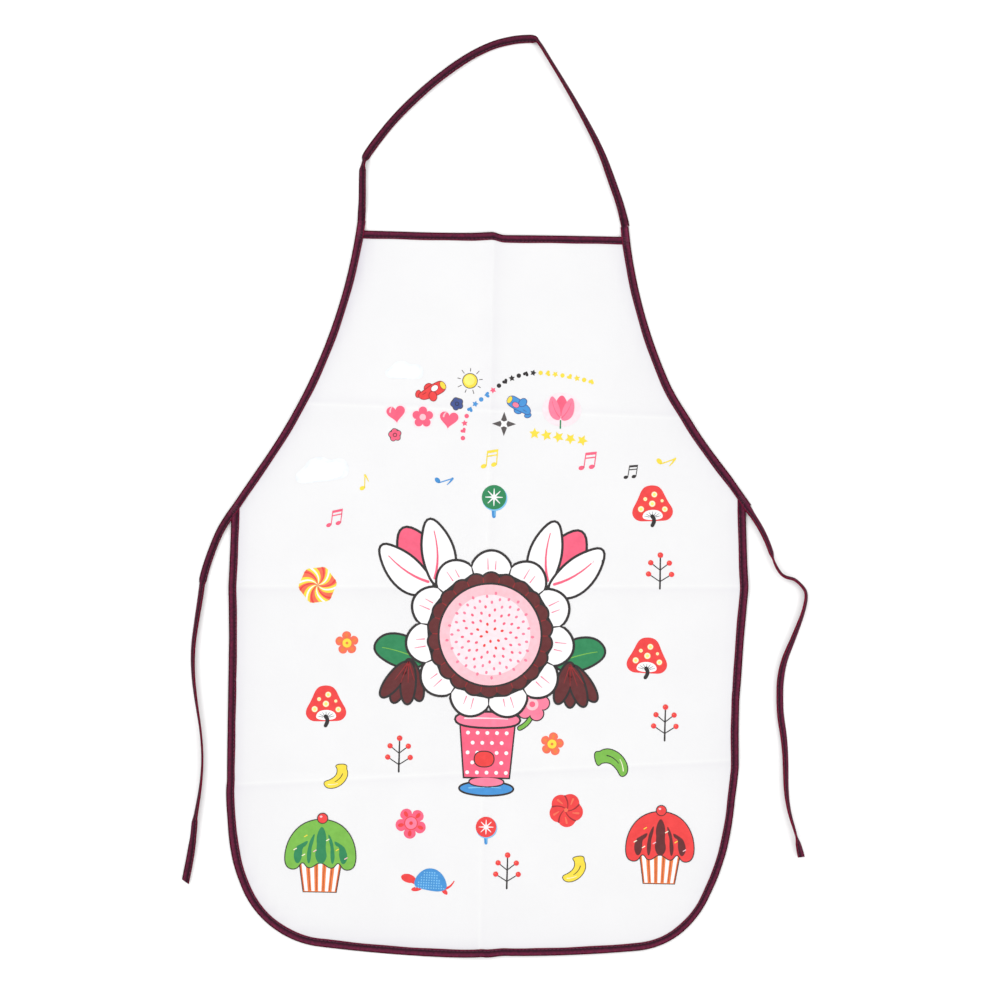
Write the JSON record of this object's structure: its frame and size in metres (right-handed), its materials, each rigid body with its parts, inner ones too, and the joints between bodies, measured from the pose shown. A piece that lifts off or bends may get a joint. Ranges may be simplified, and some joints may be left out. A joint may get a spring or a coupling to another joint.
{
  "type": "child's waterproof apron",
  "caption": "Bib apron of thin frosted film with folded tape edging, a neck loop and waist ties, lying flat and face up, with folding panels.",
  "frame": {"origin": "on the supporting surface, under the middle of the apron without its neck loop and ties", "axes": "+X to the right seen from the front, +Y towards the neck, +Z out of the front face"},
  "size_m": [0.4637, 0.6888, 0.0022],
  "materials": {
    "film": "frosted, slightly translucent film",
    "tape": "dark red folded bias tape",
    "thread": "dark red sewing thread"
  },
  "bodies": {
    "waist": {"film_waist": "film", "arm_binding_lower_left": "tape", "arm_binding_lower_right": "tape", "arm_seam_lower_left": "thread", "arm_seam_lower_right": "thread", "side_binding_upper_left": "tape", "side_binding_upper_right": "tape", "side_seam_upper_left": "thread", "side_seam_upper_right": "thread", "bar_tack_waist_left": "thread", "bar_tack_waist_right": "thread"},
    "bib": {"film_bib": "film", "bib_binding": "tape", "bib_seam": "thread", "arm_binding_upper_left": "tape", "arm_binding_upper_right": "tape", "arm_seam_upper_left": "thread", "arm_seam_upper_right": "thread", "bar_tack_bib_left": "thread", "bar_tack_bib_right": "thread"},
    "lap": {"film_lap": "film", "side_binding_lower_left": "tape", "side_binding_lower_right": "tape", "side_seam_lower_left": "thread", "side_seam_lower_right": "thread"},
    "hem": {"film_hem": "film", "hem_binding": "tape", "hem_seam": "thread"},
    "neck_loop": {"neck_loop": "tape", "neck_loop_seam": "thread"},
    "tie_left": {"tie_left": "tape", "tie_left_seam": "thread"},
    "tie_right": {"tie_right": "tape", "tie_right_seam": "thread"}
  },
  "joints": [
    {"name": "bib_fold", "type": "hinge", "parent": "waist", "child": "bib", "pos_m": [0, 0.132, 0.00176], "axis": [1, 0, 0], "range_deg": [0, 90]},
    {"name": "middle_fold", "type": "hinge", "parent": "waist", "child": "lap", "pos_m": [0, -0.003, 0.00176], "axis": [-1, 0, 0], "range_deg": [0, 90]},
    {"name": "hem_fold", "type": "hinge", "parent": "lap", "child": "hem", "pos_m": [0, -0.138, 0.00176], "axis": [-1, 0, 0], "range_deg": [0, 165]},
    {"name": "neck_loop_fold", "type": "hinge", "parent": "bib", "child": "neck_loop", "pos_m": [0, 0.27315, 0.00164], "axis": [1, 0, 0], "range_deg": [0, 150]},
    {"name": "tie_left_swing", "type": "hinge", "parent": "waist", "child": "tie_left", "pos_m": [-0.19485, 0.05577, 0.00104], "axis": [0, 0, -1], "range_deg": [0, 100]},
    {"name": "tie_right_swing", "type": "hinge", "parent": "waist", "child": "tie_right", "pos_m": [0.19485, 0.05577, 0.00104], "axis": [0, 0, 1], "range_deg": [0, 75]}
  ]
}
